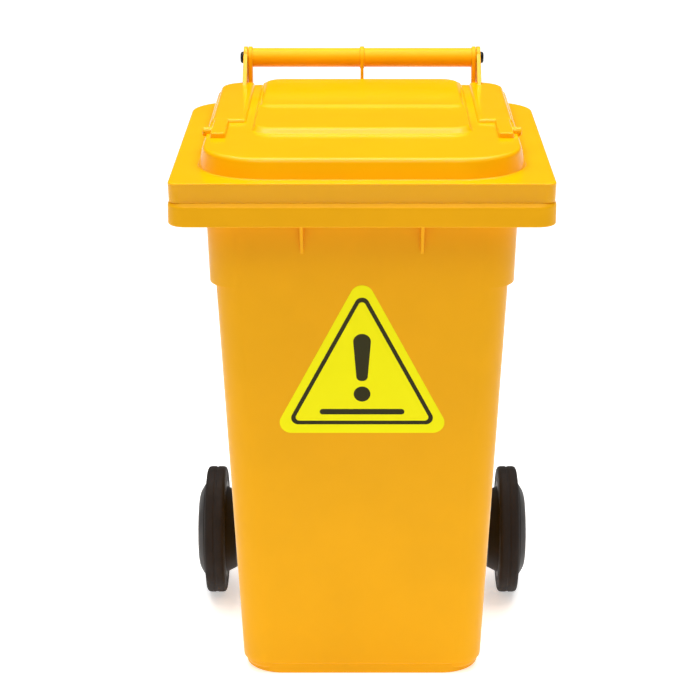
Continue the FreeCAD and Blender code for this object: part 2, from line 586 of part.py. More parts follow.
def make_wheel_hub(side):
    """Barrel, disc, rim and inner dish turned in one, with spokes on both faces and a tower for the lock."""
    hub = new_body(f"wheel_hub_{side}")
    gap = "Dims.running"
    seat, groove = f"Dims.tyre_bore - {gap}", f"Dims.tyre_bore - Dims.bead_depth - {gap}"
    middle, bead = "((Dims.tyre_in + Dims.tyre_out) / 2)", f"(Dims.bead_half + {gap})"
    near, far, rim, barrel = "Dims.tyre_in", "Dims.tyre_out", "Dims.rim_inner", "Dims.barrel_radius"
    dish, end, bore = "Dims.dish_radius", "Dims.dish_end", f"Dims.axle_radius + {gap}"
    turned(hub, f"hub_{side}_profile", [
        ("Dims.barrel_in", bore, "0"), ("Dims.barrel_out", bore, "0"), ("Dims.barrel_out", barrel, "0"),
        ("Dims.disc_out", barrel, "0"), ("Dims.disc_out", rim, "0"), (far, rim, "0"), (far, seat, "0"),
        (f"{middle} + {bead}", seat, "0"), (f"{middle} + {bead}", groove, "0"),
        (f"{middle} - {bead}", groove, "0"), (f"{middle} - {bead}", seat, "0"), (near, seat, "0"),
        (near, dish, "0"), ("Dims.dish_in", end, "3"), ("Dims.dish_in", f"{end} - Dims.dish_wall", "0"),
        ("Dims.disc_in", f"{dish} - Dims.dish_wall", "0"), ("Dims.disc_in", barrel, "0"),
        ("Dims.barrel_in", barrel, "0"),
    ])
    spoke = new_sketch(hub, f"hub_{side}_spoke", "YZ_Plane", "Dims.spoke_in")
    outline(spoke, box_plan(f"{barrel} - 2", f"{rim} + 2", "-Dims.spoke_half", "Dims.spoke_half"))
    spoke_pad = pad(hub, spoke, "Dims.spoke_out - Dims.spoke_in")
    spokes = hub.newObject("PartDesign::PolarPattern", f"hub_{side}_spokes")
    spokes.Originals = [spoke_pad]
    spokes.Axis = (spoke, ["N_Axis"])
    spokes.Angle = 360
    spokes.Occurrences = 6
    hub.Tip = spokes
    doc.recompute()
    tower = new_sketch(hub, f"hub_{side}_tower", "XY_Plane", f"{barrel} - 3")
    circle(tower, "Dims.groove_x", "0", "Dims.tower_radius")
    pad(hub, tower, f"Dims.tower_top - {barrel} + 3")
    well = new_sketch(hub, f"hub_{side}_well", "XY_Plane", "Dims.groove_radius")
    circle(well, "Dims.groove_x", "0", "Dims.latch_bore")
    pocket(hub, well, "Dims.spring_top - Dims.groove_radius")
    return set_down(hub, side, "Dims.axle_y", "Dims.axle_z")


def make_hub_cap(side):
    """The domed cover on the outside of the wheel, with the clip ring that holds it in the rim."""
    cap = new_body(f"hub_cap_{side}")
    seat, edge, top, wall = "Dims.cap_seat", "Dims.cap_edge", "Dims.cap_top", "Dims.cap_wall"
    out, clip, clip_in, face = "Dims.cap_radius", "Dims.cap_clip", "Dims.cap_clip_in", "Dims.cap_face"
    turned(cap, f"cap_{side}_profile", [
        (f"{top} - {wall}", "0", "0"), (top, "0", "0"), (top, face, "8"), (edge, out, "0"), (seat, out, "0"),
        (seat, clip, "0"), (clip_in, clip, "0"), (clip_in, f"{clip} - 2", "0"),
        (f"{seat} + 0.6", f"{clip} - 2", "0"),
        (f"{top} - {wall}", f"{face} - 1", "5"),
    ])
    return set_down(cap, side, "Dims.axle_y", "Dims.axle_z")


def make_latch_pin(side):
    """The pin that drops into the axle's groove, with a short neck that centres its spring."""
    pin = new_body(f"latch_pin_{side}")
    nose = new_sketch(pin, f"latch_{side}_nose", "XY_Plane", "Dims.latch_nose")
    circle(nose, "Dims.groove_x", "0", "Dims.latch_radius")
    pad(pin, nose, "Dims.latch_top - Dims.latch_nose")
    neck = new_sketch(pin, f"latch_{side}_neck", "XY_Plane", "Dims.latch_top")
    circle(neck, "Dims.groove_x", "0", "Dims.spring_mean - 2 * Dims.spring_wire")
    pad(pin, neck, "Dims.latch_neck")
    return set_down(pin, side, "Dims.axle_y", "Dims.axle_z")


def make_latch_spring(side):
    spring = new_body(f"latch_spring_{side}")
    wire = new_sketch(spring, f"spring_{side}_wire", "XZ_Plane")
    reach = "Dims.spring_mean"
    circle(wire, reach, "Dims.latch_top + Dims.spring_wire + 0.1", "Dims.spring_wire")
    doc.recompute()
    coil = spring.newObject("PartDesign::AdditiveHelix", f"spring_{side}_coil")
    coil.Profile = wire
    coil.ReferenceAxis = (wire, ["V_Axis"])
    coil.Mode = 0
    coil.setExpression("Pitch", "Dims.spring_pitch")
    coil.setExpression("Height", "Dims.spring_top - Dims.latch_top - 2 * Dims.spring_wire - 0.2")
    doc.recompute()
    set_down(spring, side, "Dims.axle_y", "Dims.axle_z")
    spring.setExpression("Placement.Base.x", "Dims.groove_x" if side == "right" else "-Dims.groove_x")
    return spring


def make_buffer(side):
    """A rubber stop pressed into its socket under the flange, just clear of the rim."""
    stop = new_body(f"lid_buffer_{side}")
    plug = new_sketch(stop, f"buffer_{side}_plug", "XY_Plane", "Dims.rim_top + Dims.buffer_gap")
    across = "Dims.buffer_x" if side == "right" else "-Dims.buffer_x"
    circle(plug, across, "-Dims.buffer_y", "Dims.buffer_radius")
    pad(stop, plug, "Dims.flange_top - Dims.lid_wall - Dims.rim_top - Dims.buffer_gap - Dims.running")
    return stop


def make_label():
    """A sticker that lies on the sloping front wall."""
    label = new_body("label")
    lean = "atan((Dims.brow_front - Dims.toe_front) / Dims.rim_bottom)"
    face = new_sketch(label, "label_face", "XZ_Plane", "Dims.toe_front")
    face.AttachmentOffset = FreeCAD.Placement(FreeCAD.Vector(), FreeCAD.Rotation(FreeCAD.Vector(1, 0, 0), 1))
    face.setExpression("AttachmentOffset.Rotation.Angle", lean)
    corner = "Dims.label_corner"
    outline(face, [
        ("-Dims.label_half", "Dims.label_low", corner), ("Dims.label_half", "Dims.label_low", corner),
        ("0", "Dims.label_high", corner),
    ])
    pad(label, face, "Dims.label_thick")
    return label


# ---------------------------------------------------------------- the whole bin
def make_pieces():
    pieces = [make_tub(), make_lid(), make_label(), make_axle()]
    for side in ("left", "right"):
        pieces += [make_hinge_pin(side), make_buffer(side), make_wheel_hub(side), make_tyre(side)]
        pieces += [make_hub_cap(side), make_latch_pin(side), make_latch_spring(side)]
        bore = "Dims.axle_radius + Dims.running"
        washer = tube(f"axle_washer_{side}", "Dims.washer_in", "Dims.washer_out", bore, "Dims.washer_radius")
        pieces.append(set_down(washer, side, "Dims.axle_y", "Dims.axle_z"))
    return pieces


def write(pieces):
    doc.recompute()
    for item in doc.Objects:
        if {"Invalid", "Error"} & set(item.State):
            raise RuntimeError(f"{item.Name} failed: {item.State}")
    os.makedirs("parts", exist_ok=True)
    for piece in pieces:
        shape = piece.Shape
        if shape.isNull() or not shape.isValid():
            raise RuntimeError(f"{piece.Label} has no valid shape")
        shape.exportStep(f"parts/{piece.Label}.step")
        print(f"{piece.Label}: {len(shape.Solids)} solid, {shape.Volume / 1000:.2f} cm3")


write(make_pieces())
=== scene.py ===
"""The looks of a two-wheeled waste bin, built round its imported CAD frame.

Its shapes are drawn in millimetres and built in metres; light and camera are placed in metres."""

import json
import math

import bmesh
import bpy
import numpy as np
from mathutils import Matrix, Vector


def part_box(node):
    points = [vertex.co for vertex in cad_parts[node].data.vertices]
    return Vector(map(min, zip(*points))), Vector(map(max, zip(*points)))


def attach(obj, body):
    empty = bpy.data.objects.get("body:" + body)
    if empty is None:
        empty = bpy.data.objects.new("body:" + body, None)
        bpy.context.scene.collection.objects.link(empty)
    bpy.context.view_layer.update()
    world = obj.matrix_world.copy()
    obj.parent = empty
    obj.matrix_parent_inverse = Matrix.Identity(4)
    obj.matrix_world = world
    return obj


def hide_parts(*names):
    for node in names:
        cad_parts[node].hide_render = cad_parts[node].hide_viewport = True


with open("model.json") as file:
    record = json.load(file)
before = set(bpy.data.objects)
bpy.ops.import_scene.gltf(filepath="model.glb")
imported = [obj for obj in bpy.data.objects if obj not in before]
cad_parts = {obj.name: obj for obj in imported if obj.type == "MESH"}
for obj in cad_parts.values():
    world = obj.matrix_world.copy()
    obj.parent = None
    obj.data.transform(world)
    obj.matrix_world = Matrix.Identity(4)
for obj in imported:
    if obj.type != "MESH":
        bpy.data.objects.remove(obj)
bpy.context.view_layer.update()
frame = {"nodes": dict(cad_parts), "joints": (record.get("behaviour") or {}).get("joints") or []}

MM = 0.001
X = Vector((1, 0, 0))


# ---------------------------------------------------------------- places read from the frame
TUB_LOW, TUB_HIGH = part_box("tub")
LID_BOX_LOW, LID_BOX_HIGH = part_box("lid")
AXLE_LOW, AXLE_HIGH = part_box("axle")
TYRE_LOW, TYRE_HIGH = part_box("tyre_right")
CAP_LOW, CAP_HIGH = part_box("hub_cap_right")
JOINTS = {joint["name"]: joint for joint in frame["joints"]}
HINGE = Vector(JOINTS["lid_hinge"]["pos_m"])
AXLE = Vector((0, (AXLE_LOW.y + AXLE_HIGH.y) / 2, (AXLE_LOW.z + AXLE_HIGH.z) / 2))

# the same in millimetres, which the shapes below are drawn in
HINGE_Y, HINGE_Z = HINGE.y / MM, HINGE.z / MM
AXLE_Y, AXLE_Z = AXLE.y / MM, AXLE.z / MM
RIM_HALF, RIM_FRONT = TUB_HIGH.x / MM, -TUB_LOW.y / MM
FLANGE_HALF, FLANGE_FRONT = LID_BOX_HIGH.x / MM, -LID_BOX_LOW.y / MM
WHEEL_IN, WHEEL_OUT = TYRE_LOW.x / MM, TYRE_HIGH.x / MM
TYRE_RADIUS = (TYRE_HIGH.z - TYRE_LOW.z) / 2 / MM
CAP_OUT, CAP_RADIUS = CAP_HIGH.x / MM, (CAP_HIGH.z - CAP_LOW.z) / 2 / MM


# ---------------------------------------------------------------- mesh tools
def finish_mesh(mesh_data, name, body, material, sharp=60):
    """Turns a bmesh into a piece that rides on a body, smooth but for edges of more than sharp degrees."""
    mesh = bpy.data.meshes.new(name)
    bmesh.ops.recalc_face_normals(mesh_data, faces=mesh_data.faces)
    mesh_data.to_mesh(mesh)
    mesh_data.free()
    piece = bpy.data.objects.new(name, mesh)
    bpy.context.scene.collection.objects.link(piece)
    mesh.materials.append(material)
    mesh.polygons.foreach_set("use_smooth", [True] * len(mesh.polygons))
    mesh.set_sharp_from_angle(angle=math.radians(sharp))
    weighted = piece.modifiers.new("weighted", "WEIGHTED_NORMAL")
    weighted.keep_sharp = True
    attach(piece, body)
    return piece


def bridge(rings, closed_rows=False):
    """A bmesh through rings of equal length. Its ends are capped, or joined together if closed_rows."""
    bm = bmesh.new()
    rows = [[bm.verts.new(point) for point in ring] for ring in rings]
    pairs = list(zip(rows, rows[1:]))
    if closed_rows:
        pairs.append((rows[-1], rows[0]))
    for low, high in pairs:
        for i in range(len(low)):
            j = (i + 1) % len(low)
            bm.faces.new((low[i], low[j], high[j], high[i]))
    if not closed_rows:
        bm.faces.new(rows[0])
        bm.faces.new(rows[-1])
    return bm


def soften_path(points, sizes, steps=4, closed=False):
    """Rounds the corners of a path in any number of dimensions: sizes are how far each rounding reaches."""
    points = [np.array(p, float) for p in points]
    path = []
    for i, (point, size) in enumerate(zip(points, sizes)):
        inner = closed or 0 < i < len(points) - 1
        if not size or not inner:
            path.append(point)
            continue
        before, after = points[i - 1] - point, points[(i + 1) % len(points)] - point
        start = point + before * min(0.5, size / reach(before))
        end = point + after * min(0.5, size / reach(after))
        for step in range(steps + 1):
            t = step / steps
            path.append((1 - t) ** 2 * start + 2 * t * (1 - t) * point + t**2 * end)
    return path


def reach(step):
    """How long a step of a path is. A section's step is as long as the widest move of its walls."""
    if len(step) == 2:
        return max(1e-9, math.hypot(*step))
    return max(1e-9, *(math.hypot(step[0], move) for move in step[1:4]))


def section(z, half, front, back, front_corner, back_corner, arc=10):
    """A rounded rectangle at height z, symmetric about X = 0, with its front at -front."""
    corners = (
        (-half + front_corner, -front + front_corner, front_corner, 180),
        (half - front_corner, -front + front_corner, front_corner, 270),
        (half - back_corner, back - back_corner, back_corner, 0),
        (-half + back_corner, back - back_corner, back_corner, 90),
    )
    ring = []
    for x, y, radius, first in corners:
        for step in range(arc + 1):
            angle = math.radians(first + 90 * step / arc)
            ring.append((x + radius * math.cos(angle), y + radius * math.sin(angle), z))
    return ring


def loft(rows, sizes, arc=10, shift=(0, 0, 0)):
    """A solid through sections: (z, half, front, back, front corner, back corner) in millimetres."""
    path = soften_path(rows, sizes)
    rings = [[Vector(p) * MM + Vector(shift) * MM for p in section(*row, arc=arc)] for row in path]
    return bridge(rings)


def lathe(profile, sizes, centre, side=1, steps=72):
    """A solid turned about a line along X, from a closed profile of (along, radius) in millimetres."""
    path = soften_path(profile, sizes, closed=True)
    bm = bmesh.new()
    rows = []
    for along, radius in path:
        row = []
        for step in range(steps):
            angle = math.tau * step / steps
            spot = (side * along * MM, radius * MM * math.cos(angle), radius * MM * math.sin(angle))
            row.append(bm.verts.new(Vector(spot) + centre))
            if radius < 1e-6:
                break
        rows.append(row)
    for low, high in zip(rows, rows[1:] + rows[:1]):
        for i in range(steps):
            spots = ((low, i), (low, i + 1), (high, i + 1), (high, i))
            corners = list(dict.fromkeys(ring[at % len(ring)] for ring, at in spots))
            if len(corners) > 2:
                bm.faces.new(corners)
    return bm


def prism(outline, across, start, end, bevel=1.0, segments=3):
    """A bar with a flat outline, in millimetres, from start to end along one axis, with rounded edges.
    Along X the outline is (y, z); along Z it is (x, y)."""
    place = {"X": lambda a, b, c: (c, a, b), "Z": lambda a, b, c: (a, b, c)}[across]
    bm = bmesh.new()
    ends = [[bm.verts.new(Vector(place(a, b, level)) * MM) for a, b in outline] for level in (start, end)]
    bm.faces.new(ends[0])
    bm.faces.new(ends[1])
    for i in range(len(outline)):
        j = (i + 1) % len(outline)
        bm.faces.new((ends[0][i], ends[0][j], ends[1][j], ends[1][i]))
    bmesh.ops.recalc_face_normals(bm, faces=bm.faces)
    if bevel:
        edges = [e for e in bm.edges if e.calc_face_angle(0) > math.radians(20)]
        bmesh.ops.bevel(
            bm, geom=edges, offset=bevel * MM, segments=segments, profile=0.5, affect="EDGES",
            clamp_overlap=True,
        )
    return bm


def box_outline(left, right, low, high):
    """The four corners of a flat rectangle."""
    return [(left, low), (right, low), (right, high), (left, high)]


def round_outline(points, sizes, steps=6):
    """A flat closed outline with true arcs of the given radii at its corners."""
    spots = [Vector(p) for p in points]
    path = []
    for i, (spot, radius) in enumerate(zip(spots, sizes)):
        if not radius:
            path.append(tuple(spot))
            continue
        before = (spots[i - 1] - spot).normalized()
        after = (spots[(i + 1) % len(spots)] - spot).normalized()
        half = before.angle(after) / 2
        centre = spot + (before + after).normalized() * (radius / math.sin(half))
        first = spot + before * (radius / math.tan(half)) - centre
        turn = first.angle_signed(spot + after * (radius / math.tan(half)) - centre)
        for step in range(steps + 1):
            swing = Matrix.Rotation(-turn * step / steps, 2)
            path.append(tuple(centre + swing @ first))
    return path


def merge(*meshes):
    """Several bmeshes as one, each staying its own closed shell."""
    whole = bmesh.new()
    for part in meshes:
        spare = bpy.data.meshes.new("spare")
        bmesh.ops.recalc_face_normals(part, faces=part.faces)
        part.to_mesh(spare)
        whole.from_mesh(spare)
        bpy.data.meshes.remove(spare)
        part.free()
    return whole


# ---------------------------------------------------------------- materials
DRIFT_SCALE, SHEEN_SCALE, SCUFF_SCALE, BRUSH_SCALE = 9, 25, 60, 300
CLOUD, SCRATCH, GRAIN_DEPTH = (0.3, 0.7), (0.62, 0.78), 0.4 * MM


def new_material(name):
    """A material with its nodes and links."""
    material = bpy.data.materials.new(name)
    material.use_nodes = True
    return material, material.node_tree.nodes, material.node_tree.links


def smooth_range(nodes, links, source, limits):
    """A smooth step of a value, between limits named as the node's inputs are."""
    node = nodes.new("ShaderNodeMapRange")
    node.interpolation_type = "SMOOTHSTEP"
    for key, value in limits.items():
        node.inputs[key].default_value = value
    links.new(source, node.inputs["Value"])
    return node.outputs["Result"]


def plastic(name, colour, roughness, grain=0.0, grain_size=900, mottle=0.06, scuff=0.15, shine=0.25):
    """Moulded plastic: a slow drift of colour, a fine skin, and faint scuffs that are duller and paler."""
    material, nodes, links = new_material(name)
    shader = nodes["Principled BSDF"]
    place = nodes.new("ShaderNodeTexCoord").outputs["Object"]

    def noise(scale, detail, roughness=0.5):
        """A noise texture's value."""
        node = nodes.new("ShaderNodeTexNoise")
        node.inputs["Scale"].default_value = scale
        node.inputs["Detail"].default_value = detail
        node.inputs["Roughness"].default_value = roughness
        links.new(place, node.inputs["Vector"])
        return node.outputs["Fac"]

    def ramp(source, low, high, out_low, out_high):
        """A value spread from one range over another."""
        limits = {"From Min": low, "From Max": high, "To Min": out_low, "To Max": out_high}
        return smooth_range(nodes, links, source, limits)

    drift = nodes.new("ShaderNodeMix")
    drift.data_type = "RGBA"
    drift.inputs["A"].default_value = (*[c * (1 - mottle) for c in colour], 1)
    drift.inputs["B"].default_value = (*[min(1, c * (1 + mottle)) for c in colour], 1)
    links.new(ramp(noise(DRIFT_SCALE, 3), *CLOUD, 0, 1), drift.inputs["Factor"])
    worn = nodes.new("ShaderNodeMix")
    worn.data_type = "RGBA"
    worn.inputs["B"].default_value = (*[c * 0.75 + 0.25 * (sum(colour) / 3 + 0.1) for c in colour], 1)
    links.new(drift.outputs["Result"], worn.inputs["A"])
    scratches = ramp(noise(SCUFF_SCALE, 8, 0.75), *SCRATCH, 0, scuff)
    links.new(scratches, worn.inputs["Factor"])
    links.new(worn.outputs["Result"], shader.inputs["Base Color"])
    rough = nodes.new("ShaderNodeMath")
    rough.operation = "ADD"
    sheen = ramp(noise(SHEEN_SCALE, 4), *CLOUD, roughness * 0.9, roughness * 1.15)
    links.new(sheen, rough.inputs[0])
    links.new(scratches, rough.inputs[1])
    links.new(rough.outputs["Value"], shader.inputs["Roughness"])
    if grain:
        bump = nodes.new("ShaderNodeBump")
        bump.inputs["Strength"].default_value = grain
        bump.inputs["Distance"].default_value = GRAIN_DEPTH
        links.new(noise(grain_size, 2), bump.inputs["Height"])
        links.new(bump.outputs["Normal"], shader.inputs["Normal"])
    shader.inputs["Specular IOR Level"].default_value = shine
    return material


def metal(name, colour, roughness, stretch):
    """Drawn steel with fine lines: the smaller a number of stretch, the longer they are along that axis."""
    material, nodes, links = new_material(name)
    shader = nodes["Principled BSDF"]
    shader.inputs["Metallic"].default_value = 1
    place = nodes.new("ShaderNodeTexCoord").outputs["Object"]
    squeeze = nodes.new("ShaderNodeMapping")
    squeeze.inputs["Scale"].default_value = stretch
    links.new(place, squeeze.inputs["Vector"])
    lines = nodes.new("ShaderNodeTexNoise")
    lines.inputs["Scale"].default_value = BRUSH_SCALE
    lines.inputs["Detail"].default_value = 4
    links.new(squeeze.outputs["Vector"], lines.inputs["Vector"])
    tone = nodes.new("ShaderNodeMix")
    tone.data_type = "RGBA"
    tone.inputs["A"].default_value = (*[c * 0.8 for c in colour], 1)
    tone.inputs["B"].default_value = (*colour, 1)
    links.new(lines.outputs["Fac"], tone.inputs["Factor"])
    links.new(tone.outputs["Result"], shader.inputs["Base Color"])
    rough = nodes.new("ShaderNodeMapRange")
    rough.inputs["To Min"].default_value = roughness * 0.8
    rough.inputs["To Max"].default_value = roughness * 1.3
    links.new(lines.outputs["Fac"], rough.inputs["Value"])
    links.new(rough.outputs["Result"], shader.inputs["Roughness"])
    return material


TUB_PLASTIC = plastic(
    "tub_plastic", (0.92, 0.435, 0.002), 0.36, grain=0.08, mottle=0.02, scuff=0.03, shine=0.12
)
LID_PLASTIC = plastic("lid_plastic", (0.92, 0.43, 0.001), 0.15, mottle=0.015, scuff=0.0, shine=0.22)
WHEEL_PLASTIC = plastic("wheel_plastic", (0.016, 0.012, 0.010), 0.5, grain=0.25, scuff=0.1)
TYRE_RUBBER = plastic("tyre_rubber", (0.017, 0.012, 0.010), 0.7, grain=0.5, grain_size=1400, scuff=0.2)
PIN_PLASTIC = plastic("pin_plastic", (0.006, 0.006, 0.006), 0.4, grain=0.1)
BUFFER_RUBBER = plastic("buffer_rubber", (0.02, 0.02, 0.02), 0.7, grain=0.3)
WASHER_PLASTIC = plastic("washer_plastic", (0.6, 0.6, 0.55), 0.45, grain=0.1)
AXLE_STEEL = metal("axle_steel", (0.55, 0.56, 0.58), 0.3, (0.02, 1, 1))
SPRING_STEEL = metal("spring_steel", (0.6, 0.6, 0.6), 0.25, (1, 1, 0.1))
LABEL_FILM = plastic("label_film", (1.0, 0.93, 0.001), 0.4, grain=0.02, mottle=0.01, scuff=0.0, shine=0.1)
LABEL_INK = plastic(
    "label_ink", (0.032, 0.028, 0.004), 0.45, grain=0.02, mottle=0.1, scuff=0.04, shine=0.15
)


# ---------------------------------------------------------------- tub, in millimetres
# heights from the floor
BASE_TOP, RECESS_TOP, COLLAR_LOW, RIM_LOW, RIM_TOP = 16, 140, 583, 682, 712
FLOOR_TOP, HOOD = 6, RIM_TOP - 5
# plans: half width, front and back of the wall at the floor and at the rim's foot
TOE, BROW = (165.4, 134, 206), (194.4, 220, 222)
# the same with a front and a back corner: the rim, and its top inside the chamfer
RIM, LEDGE, RIM_CHAMFER = (RIM_HALF, RIM_FRONT, 234, 24, 64), (241.8, 269.8, 231.5, 20, 62), 4.6
COLLAR_HALF, NECK_HALF, RECESS_BACK = 198.5, 201, 104
WALL, WALL_CORNER, COLLAR_CORNER, BASE_CORNER, RECESS_CORNER = 4, 36, 44, 52, 4
FOOT_SETBACK, BASE_SETBACK, STEP_SETBACK, INSIDE_MARGIN = 2.4, 2, 0.3, 20
RIB, COMB_PITCH, COMB_COUNT, COMB_SIDE_START = 4.5, 92, 4, -128.8
COMB_LOW, COMB_TOP, COMB_FRONT, COMB_BACK, COMB_IN, COMB_OUT = 684.8, 709, -272.5, -218, 199.5, 241
GUSSET_X, GUSSET_TOP, GUSSET_LOW, GUSSET_DEPTH, GUSSET_TIP = 77, 689, 632, 24, 1.6
HANGER_HALF, HANGER_TOP, HANGER_WIDTH, HANGER_STARTS = 27, 143, 8, (-158, -52, 44, 150)
BOSS_IN, BOSS_OUT, BOSS_RADIUS, BOSS_BORE = 157, 180, 19, 10.05
ARM_X, ARM_WIDTH, ARM_FOOT, ARM_TIP, ARM_STEP, ARM_BITE = 162.5, 6, 560, 3, 716, 9
EYE, EYE_BORE, MIDDLE_ARM_WIDTH, MIDDLE_EYE_WIDTH = 16, 5.05, 4.4, 6.6
BAR_RADIUS, SHELF_LOW, SHELF_TOP, SHELF_FRONT, SHELF_BACK = 13.7, 699, 711, 231, 260


def wall(z, out=0, back=None):
    """The tub's half width, front and back at height z, moved out by a number of millimetres."""
    plan = [low + (high - low) * z / RIM_LOW + out for low, high in zip(TOE, BROW)]
    return plan if back is None else [*plan[:2], back]


def inwards(section_row, by):
    """A section's row with its walls and corners, and its height if it is given, moved in."""
    return [value - by for value in section_row]


def solid(rows, arc):
    """A solid through rows, each a section and how far its rounding reaches."""
    return loft([row for row, _ in rows], [size for _, size in rows], arc)


def tub_shell():
    """The tub's wall: from the foot up the outside, round the rim and down the inside."""
    foot, base = wall(0, -FOOT_SETBACK)[:2], wall(BASE_TOP, -BASE_SETBACK)[:2]
    outer, inner = [WALL_CORNER] * 2, [WALL_CORNER - WALL] * 2
    neck, throat = [COLLAR_CORNER] * 2, [COLLAR_CORNER - WALL] * 2
    step, sump = (WALL_CORNER, RECESS_CORNER), (WALL_CORNER - WALL, 10)
    shelf, ledge, sump_back = RECESS_TOP + WALL, COLLAR_LOW + WALL, RECESS_BACK - WALL
    return solid([
        ((0, *inwards(foot, INSIDE_MARGIN), sump_back, 30, 2), 0),
        ((0, *foot, RECESS_BACK, BASE_CORNER, RECESS_CORNER), 2.2),
        ((BASE_TOP, *base, RECESS_BACK, BASE_CORNER, RECESS_CORNER), 1.2),
        ((BASE_TOP + 1.2, *wall(BASE_TOP, -STEP_SETBACK, RECESS_BACK), *step), 0.6),
        ((BASE_TOP + 5, *wall(BASE_TOP + 5, 0, RECESS_BACK), *step), 2.5),
        ((RECESS_TOP, *wall(RECESS_TOP, 0, RECESS_BACK), *step), 14),
        ((RECESS_TOP, *wall(RECESS_TOP), *outer), 2.5),
        ((COLLAR_LOW, *wall(COLLAR_LOW), *outer), 1.5),
        ((COLLAR_LOW, COLLAR_HALF, *wall(COLLAR_LOW)[1:], *neck), 1),
        ((RIM_LOW, NECK_HALF, *wall(RIM_LOW)[1:], *neck), 0),
        ((HOOD, NECK_HALF, *wall(RIM_LOW)[1:], *neck), 2.5),
        ((HOOD, *inwards(RIM, WALL)), 2),
        ((RIM_LOW, *inwards(RIM, WALL)), 1),
        ((RIM_LOW, *RIM), 2.5),
        ((RIM_TOP - RIM_CHAMFER, *RIM), 1.6),
        ((RIM_TOP, *LEDGE), 0.5),
        ((RIM_TOP, NECK_HALF - WALL, *wall(RIM_TOP, -WALL)[1:], *throat), 2),
        ((ledge, COLLAR_HALF - WALL, *wall(ledge, -WALL)[1:], *throat), 2),
        ((ledge, *wall(ledge, -WALL), *inner), 2),
        ((shelf, *wall(shelf, -WALL), *inner), 3),
        ((shelf, *wall(shelf, -WALL, sump_back), *sump), 6),
        ((FLOOR_TOP, *wall(FLOOR_TOP, -WALL, sump_back), *sump), 8),
        ((FLOOR_TOP, *wall(FLOOR_TOP, -WALL - 30, sump_back - 30), 22, 6), 0),
    ], 14)


def comb_and_gussets():
    """The ribs inside the rim, and the two gussets that show under it at the front."""
    half = RIB / 2
    front = box_outline(COMB_FRONT, COMB_BACK, COMB_LOW, COMB_TOP)
    made = []
    for step in range(COMB_COUNT):
        x = COMB_PITCH * (step - (COMB_COUNT - 1) / 2)
        made.append(prism(front, "X", x - half, x + half, 0.8, 2))
    for side in (-1, 1):
        ends = sorted((side * COMB_IN, side * COMB_OUT))
        for step in range(COMB_COUNT):
            y = COMB_SIDE_START + COMB_PITCH * step
            made.append(slab(ends, (y - half, y + half), (COMB_LOW, COMB_TOP), 0.8))
    brow, toe = (1 - wall(z)[1] for z in (GUSSET_TOP, GUSSET_LOW))
    edge = [(brow - GUSSET_DEPTH, GUSSET_TOP), (toe - GUSSET_TIP, GUSSET_LOW)]
    outline = [(brow, GUSSET_TOP), *edge, (toe, GUSSET_LOW)]
    for x in (-GUSSET_X, GUSSET_X):
        made.append(prism(outline, "X", x - half, x + half, 0.9, 3))
    return made


def axle_mounts():
    """Four hangers down from the recess's roof, and a boss on each side of the tub."""
    near, far, low = AXLE_Y - HANGER_HALF, AXLE_Y + HANGER_HALF, AXLE_Z - HANGER_HALF
    outline = [(near, HANGER_TOP), (near, low), (far, low), (far, HANGER_TOP)]
    outline = round_outline(outline, [0, HANGER_HALF - 0.1, HANGER_HALF - 0.1, 0], 14)
    made = [prism(outline, "X", start, start + HANGER_WIDTH, 1.2) for start in HANGER_STARTS]
    boss = [(BOSS_IN, BOSS_BORE), (BOSS_OUT, BOSS_BORE), (BOSS_OUT, BOSS_RADIUS), (BOSS_IN, BOSS_RADIUS)]
    return made + [lathe(boss, [0, 0.8, 1.5, 0], AXLE, side) for side in (-1, 1)]


def slab(xs, ys, zs, bevel):
    """A bevelled block between three pairs of limits."""
    return prism(box_outline(xs[0], xs[1], ys[0], ys[1]), "Z", zs[0], zs[1], bevel, 2)


def eye(centre, width, bore):
    """A ring round the hinge's line, or a disc where there is no bore."""
    low, high = -width / 2, width / 2
    profile = [(low, bore), (high, bore), (high, EYE), (low, EYE)]
    inner, outer = (0.5, 1.4) if bore else (0, 1.5)
    return lathe(profile, [inner, inner, outer, outer], centre)


def handle():
    """The push bar with its two end arms, its middle arm and the shelf that ties them to the rim."""
    brow, toe = wall(RIM_LOW)[2] - 1, wall(ARM_FOOT)[2] - 1
    front, back = HINGE_Y - EYE + 0.1, HINGE_Y + EYE - 0.1
    arm = round_outline(
        [
            (front, HINGE_Z), (front, ARM_STEP), (SHELF_FRONT, SHELF_TOP), (brow, RIM_LOW), (toe, ARM_FOOT),
            (toe + ARM_TIP, ARM_FOOT), (SHELF_BACK + 2, SHELF_LOW), (back, HINGE_Z),
        ],
        [0, 6, 4, 0, 0, 1, 30, 0],
    )
    reach_out = ARM_X - 2
    made = [slab((-reach_out, reach_out), (SHELF_FRONT, SHELF_BACK), (SHELF_LOW, SHELF_TOP), 2)]
    bar = [(-reach_out, 0), (reach_out, 0), (reach_out, BAR_RADIUS), (-reach_out, BAR_RADIUS)]
    made.append(lathe(bar, [0, 0, 0, 0], HINGE))
    for middle in (-ARM_X, ARM_X):
        made.append(prism(carve(arm, ARM_BITE), "X", middle - ARM_WIDTH / 2, middle + ARM_WIDTH / 2, 1.2))
        made.append(eye(HINGE + X * middle * MM, ARM_WIDTH, EYE_BORE))
    made.append(prism(arm, "X", -MIDDLE_ARM_WIDTH / 2, MIDDLE_ARM_WIDTH / 2, 1))
    made.append(eye(HINGE, MIDDLE_EYE_WIDTH, 0))
    return made


def carve(outline, radius):
    """Takes a round bite out of the end of an outline that stops at the hinge's height."""
    angles = np.linspace(0, -math.pi, 17)
    return outline + [(HINGE_Y + radius * math.cos(a), HINGE_Z + radius * math.sin(a)) for a in angles]


pieces = [tub_shell(), *comb_and_gussets(), *axle_mounts(), *handle()]
tub = finish_mesh(merge(*pieces), "bin_tub", "root", TUB_PLASTIC)
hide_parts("tub")


